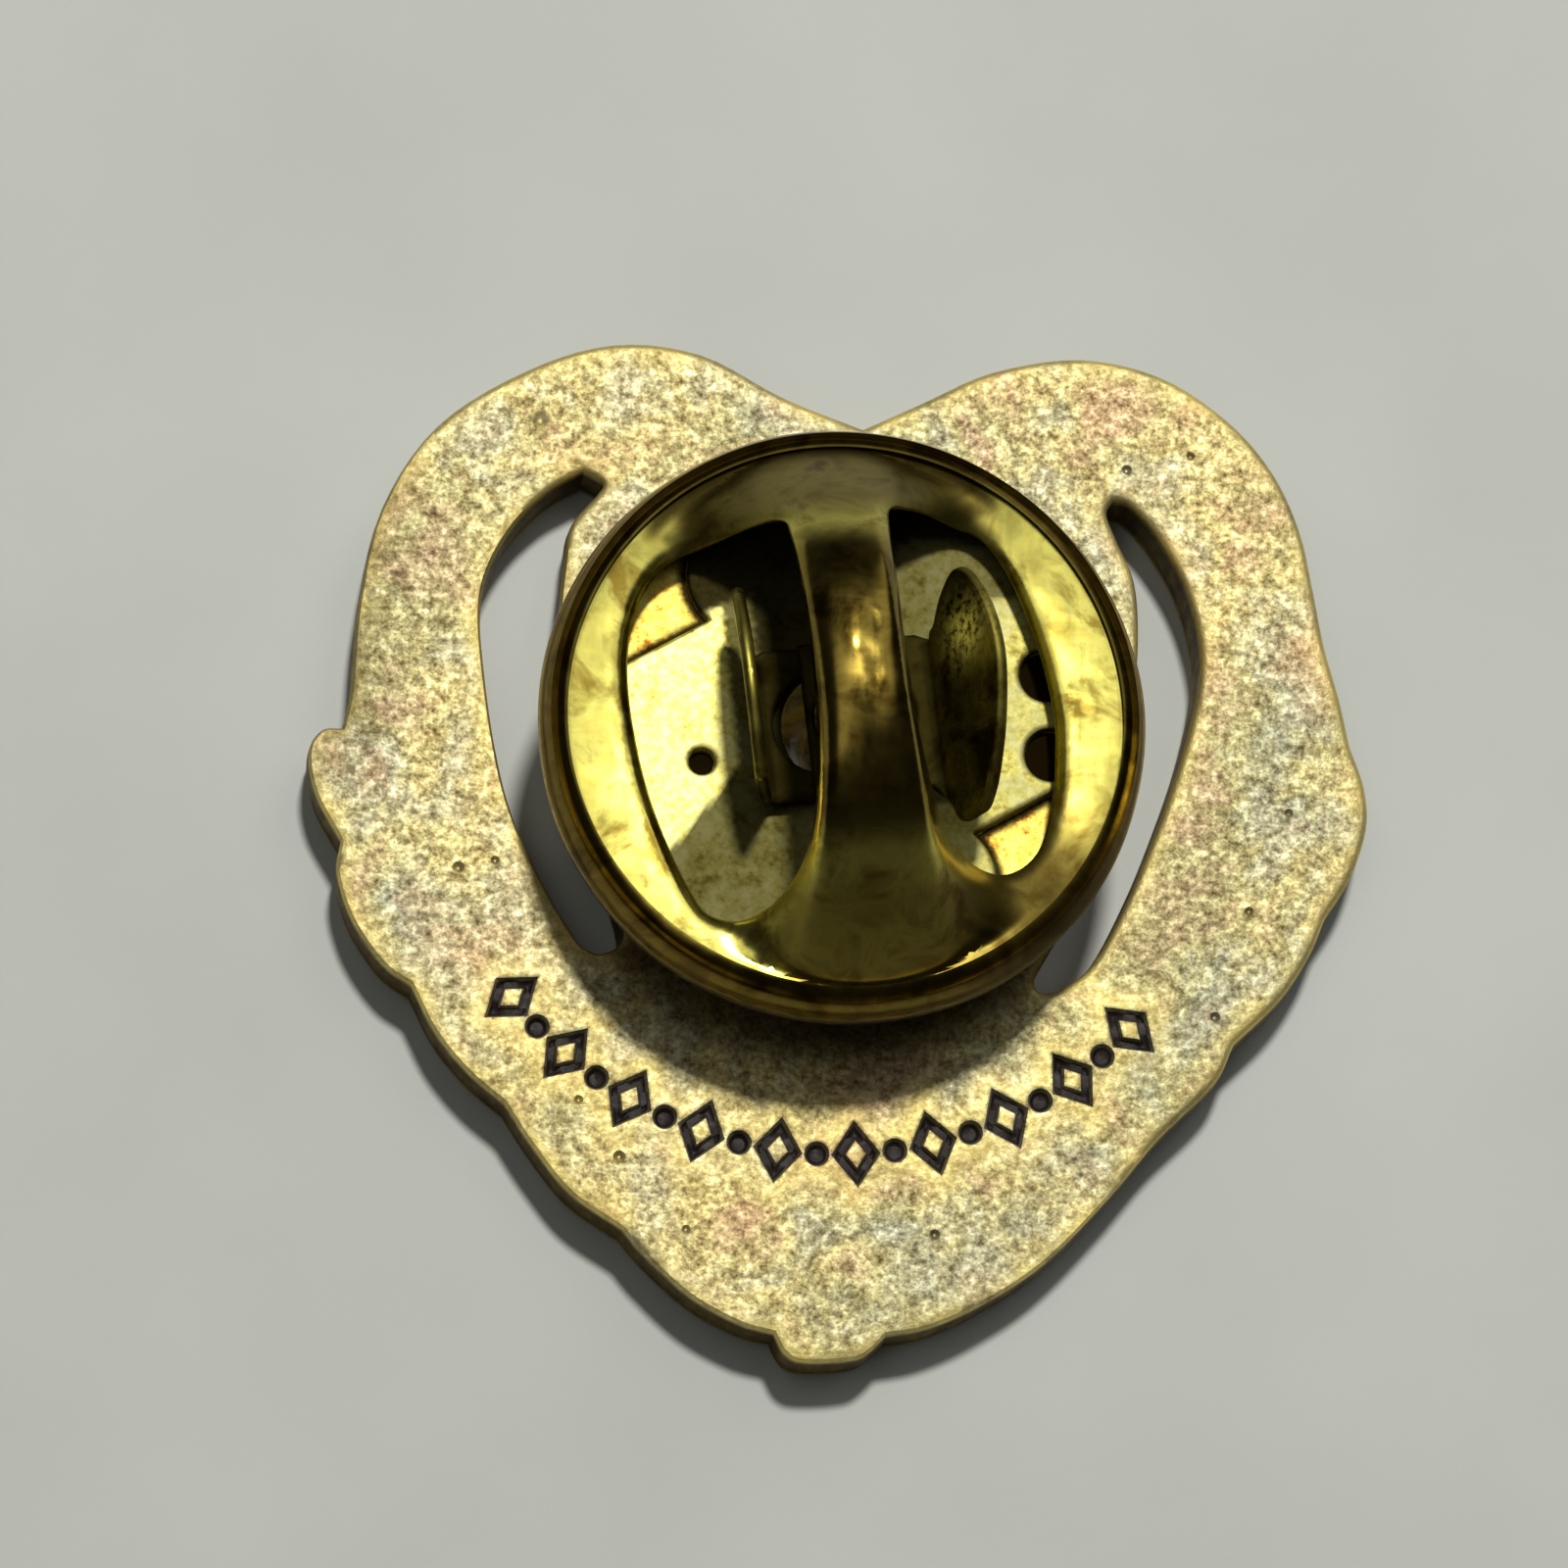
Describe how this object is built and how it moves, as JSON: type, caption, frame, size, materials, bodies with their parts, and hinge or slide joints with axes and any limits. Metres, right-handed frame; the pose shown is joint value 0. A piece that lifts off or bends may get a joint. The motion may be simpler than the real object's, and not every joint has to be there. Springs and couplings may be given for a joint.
{
  "type": "enamel pin",
  "caption": "Heart-shaped enamel badge with crescent piercings, a soldered post and a butterfly clutch that squeezes open and pulls off.",
  "frame": {"origin": "on the post's axis, in the plane of the badge's front face", "axes": "+Z out of the badge's back along the post, +Y towards the heart's notch, +X to the right seen from the back"},
  "size_m": [0.0204, 0.02, 0.008],
  "materials": {
    "badge_brass": "sand-blasted, antiqued",
    "enamel_red": "fired enamel",
    "enamel_cream": "fired enamel",
    "enamel_dark_green": "fired enamel",
    "enamel_light_green": "fired enamel",
    "enamel_coral": "fired enamel",
    "post_metal": "drawn and plated",
    "solder": "dull",
    "base_brass": "pressed, tarnished",
    "spring_brass": "pressed, bright",
    "cap_brass": "polished, tarnished"
  },
  "bodies": {
    "badge": {"badge_body": "badge_brass", "heart_enamel": "enamel_red", "panel_enamel": "enamel_cream", "leaf_enamel_dark": "enamel_dark_green", "leaf_enamel_light": "enamel_light_green", "berry_enamel": "enamel_coral", "post": "post_metal", "post_solder": "solder"},
    "clutch_back": {"clutch_base": "base_brass"},
    "clutch_housing": {"clutch_cap": "cap_brass", "clutch_spring": "spring_brass"},
    "left_jaw": {"left_wing": "spring_brass"},
    "right_jaw": {"right_wing": "spring_brass"}
  },
  "joints": [
    {"name": "clutch_pull_off", "type": "slide", "parent": "badge", "child": "clutch_back", "axis": [0, 0, 1], "range_m": [0, 0.012]},
    {"name": "clutch_spin", "type": "hinge", "parent": "clutch_back", "child": "clutch_housing", "pos_m": [0, 0, 0.003], "axis": [0, 0, 1], "continuous": true},
    {"name": "left_wing_squeeze", "type": "slide", "parent": "clutch_housing", "child": "left_jaw", "axis": [0.9903, 0.1392, 0], "range_m": [0, 0.00038], "stiffness_N_per_m": 1000, "springref_m": -0.0002},
    {"name": "right_wing_squeeze", "type": "slide", "parent": "clutch_housing", "child": "right_jaw", "axis": [-0.9903, -0.1392, 0], "range_m": [0, 0.00038], "stiffness_N_per_m": 1000, "springref_m": -0.0002}
  ],
  "couplings": [
    {"joint": "right_wing_squeeze", "follows": "left_wing_squeeze", "ratio": 1}
  ]
}
